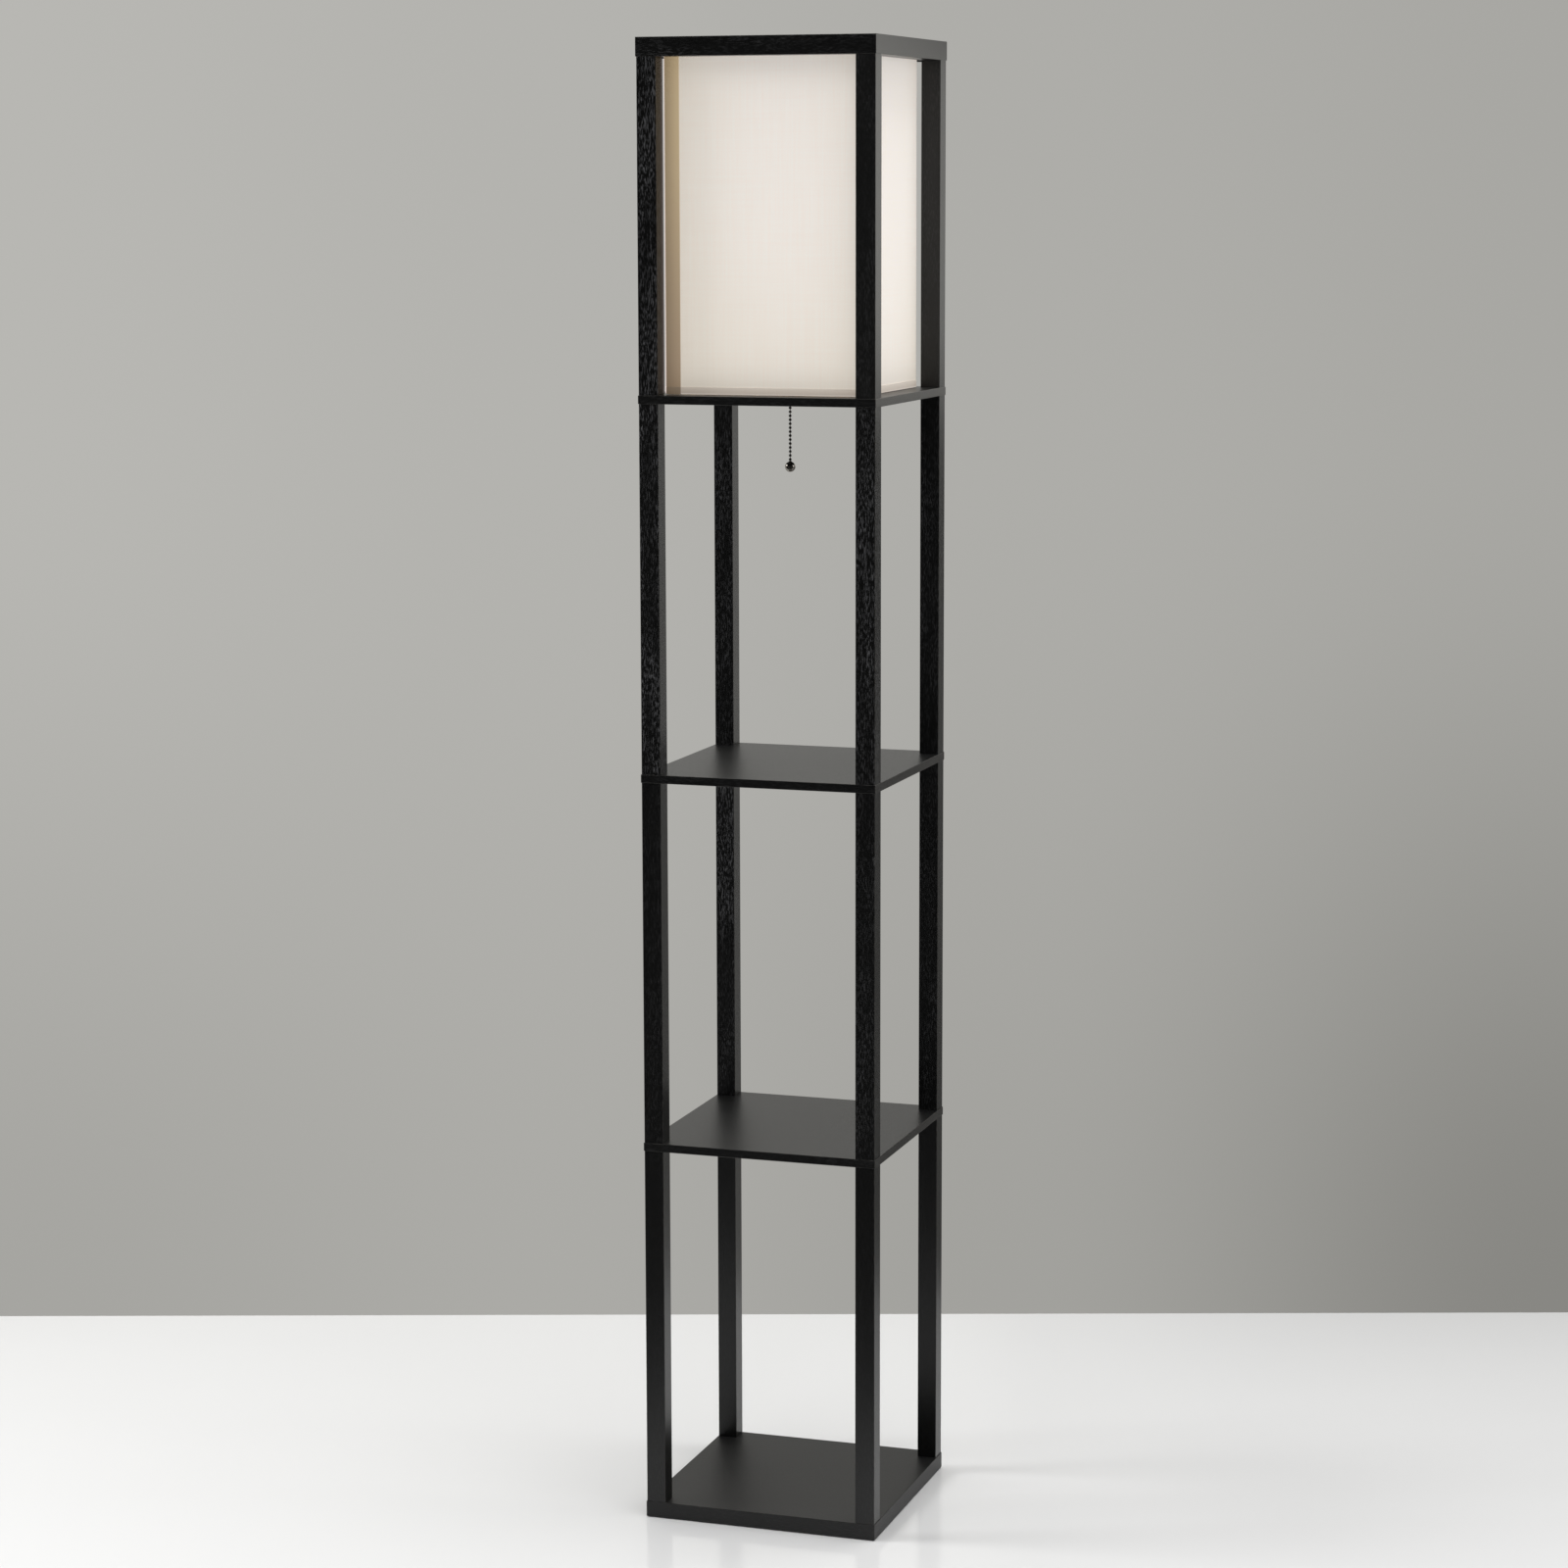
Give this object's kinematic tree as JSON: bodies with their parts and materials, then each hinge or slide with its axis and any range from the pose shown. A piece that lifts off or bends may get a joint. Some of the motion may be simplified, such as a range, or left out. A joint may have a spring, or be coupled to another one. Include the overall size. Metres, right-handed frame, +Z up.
{
  "type": "shelf floor lamp",
  "caption": "Tall square black wood floor lamp with open shelves below and a lit square cloth shade inside the top frame, switched by a pull chain.",
  "frame": {"origin": "centre of the square footprint, on the floor under the foot pads", "axes": "+X to the right along the front face, +Y to the rear, +Z up"},
  "size_m": [0.26, 0.26, 1.588],
  "materials": {
    "black_wood": "satin black lacquer over open-grain veneer",
    "foot_felt": "pressed felt",
    "zinc_steel": "zinc plated",
    "insert_brass": "plain turned",
    "beech": "plain beech",
    "shade_cloth": "fine ivory silk-look cloth",
    "shade_tape": "folded cloth tape",
    "shade_liner": "translucent white film",
    "white_wire": "white dipped",
    "black_wire": "black dipped",
    "holder_metal": "nickel plated",
    "holder_brass": "plain",
    "holder_fibre": "vulcanised fibre",
    "moulded_black": "moulded phenolic",
    "white_nylon": "moulded nylon",
    "spring_steel": "plain",
    "bulb_glass": "inside frosted",
    "bulb_cap_metal": "rolled thread",
    "bulb_tip": "dark glass with a metal button",
    "chain_metal": "black nickel"
  },
  "bodies": {
    "frame": {"base_board": "black_wood", "lower_shelf": "black_wood", "middle_shelf": "black_wood", "lamp_shelf": "black_wood", "lower_post_front_left": "black_wood", "lower_post_front_right": "black_wood", "lower_post_rear_left": "black_wood", "lower_post_rear_right": "black_wood", "middle_post_front_left": "black_wood", "middle_post_front_right": "black_wood", "middle_post_rear_left": "black_wood", "middle_post_rear_right": "black_wood", "upper_post_front_left": "black_wood", "upper_post_front_right": "black_wood", "upper_post_rear_left": "black_wood", "upper_post_rear_right": "black_wood", "lantern_post_front_left": "black_wood", "lantern_post_front_right": "black_wood", "lantern_post_rear_left": "black_wood", "lantern_post_rear_right": "black_wood", "top_rail_front": "black_wood", "top_rail_right": "black_wood", "top_rail_rear": "black_wood", "top_rail_left": "black_wood", "foot_pads": "foot_felt", "base_bolts": "zinc_steel", "joining_studs": "zinc_steel", "threaded_nipple": "zinc_steel", "nipple_nut": "zinc_steel", "nipple_washer": "zinc_steel", "thread_inserts": "insert_brass", "mitre_dowels": "beech", "shade_fabric": "shade_cloth", "shade_top_trim": "shade_tape", "shade_bottom_trim": "shade_tape", "shade_liner": "shade_liner", "shade_top_ring": "white_wire", "shade_bottom_ring": "white_wire", "shade_hooks": "black_wire", "holder_base_plate": "holder_metal", "holder_cup": "holder_metal", "holder_shell": "holder_metal", "screw_shell": "holder_brass", "centre_contact": "holder_brass", "terminal_screws": "holder_brass", "insulating_sleeve": "holder_fibre", "switch_housing": "moulded_black", "cord_bush": "white_nylon", "pivot_pin": "spring_steel", "lever_spring": "spring_steel", "chain_eyelet": "chain_metal"},
    "guided_chain": {"upper_chain": "chain_metal"},
    "chain_knuckle": {"swing_bead": "chain_metal"},
    "hanging_chain": {"lower_chain": "chain_metal", "pull_ball": "chain_metal"},
    "switch_lever": {"switch_lever": "holder_brass"},
    "switch_rotor": {"switch_rotor": "moulded_black"},
    "bulb_contact": {"bulb_tip": "bulb_tip"},
    "bulb": {"bulb_glass": "bulb_glass", "bulb_cap": "bulb_cap_metal"}
  },
  "joints": [
    {"name": "chain_pull", "type": "slide", "parent": "frame", "child": "guided_chain", "axis": [0, 0, -1], "range_m": [0, 0.00774], "stiffness_N_per_m": 600, "springref_m": -0.003},
    {"name": "lever_turn", "type": "hinge", "parent": "frame", "child": "switch_lever", "pos_m": [0.0027, -0.0079, 1.2525], "axis": [1, 0, 0], "range_deg": [0, 30]},
    {"name": "rotor_turn", "type": "hinge", "parent": "frame", "child": "switch_rotor", "pos_m": [0.0027, -0.0079, 1.2525], "axis": [1, 0, 0], "continuous": true},
    {"name": "chain_swing_sideways", "type": "hinge", "parent": "guided_chain", "child": "chain_knuckle", "pos_m": [0.0027, -0.0239, 1.20707], "axis": [0, 1, 0], "range_deg": [-60, 60]},
    {"name": "chain_swing_forwards", "type": "hinge", "parent": "chain_knuckle", "child": "hanging_chain", "pos_m": [0.0027, -0.0239, 1.20707], "axis": [1, 0, 0], "range_deg": [-60, 60]},
    {"name": "bulb_rise", "type": "slide", "parent": "frame", "child": "bulb_contact", "axis": [0, 0, 1], "range_m": [0, 0.0164]},
    {"name": "bulb_turn", "type": "hinge", "parent": "bulb_contact", "child": "bulb", "pos_m": [0, 0, 1.3], "axis": [0, 0, 1], "range_deg": [0, 1620]}
  ],
  "couplings": [
    {"joint": "lever_turn", "follows": "chain_pull", "rad_per_m": 63.126},
    {"joint": "bulb_rise", "follows": "bulb_turn", "m_per_rad": 0.00057757}
  ]
}
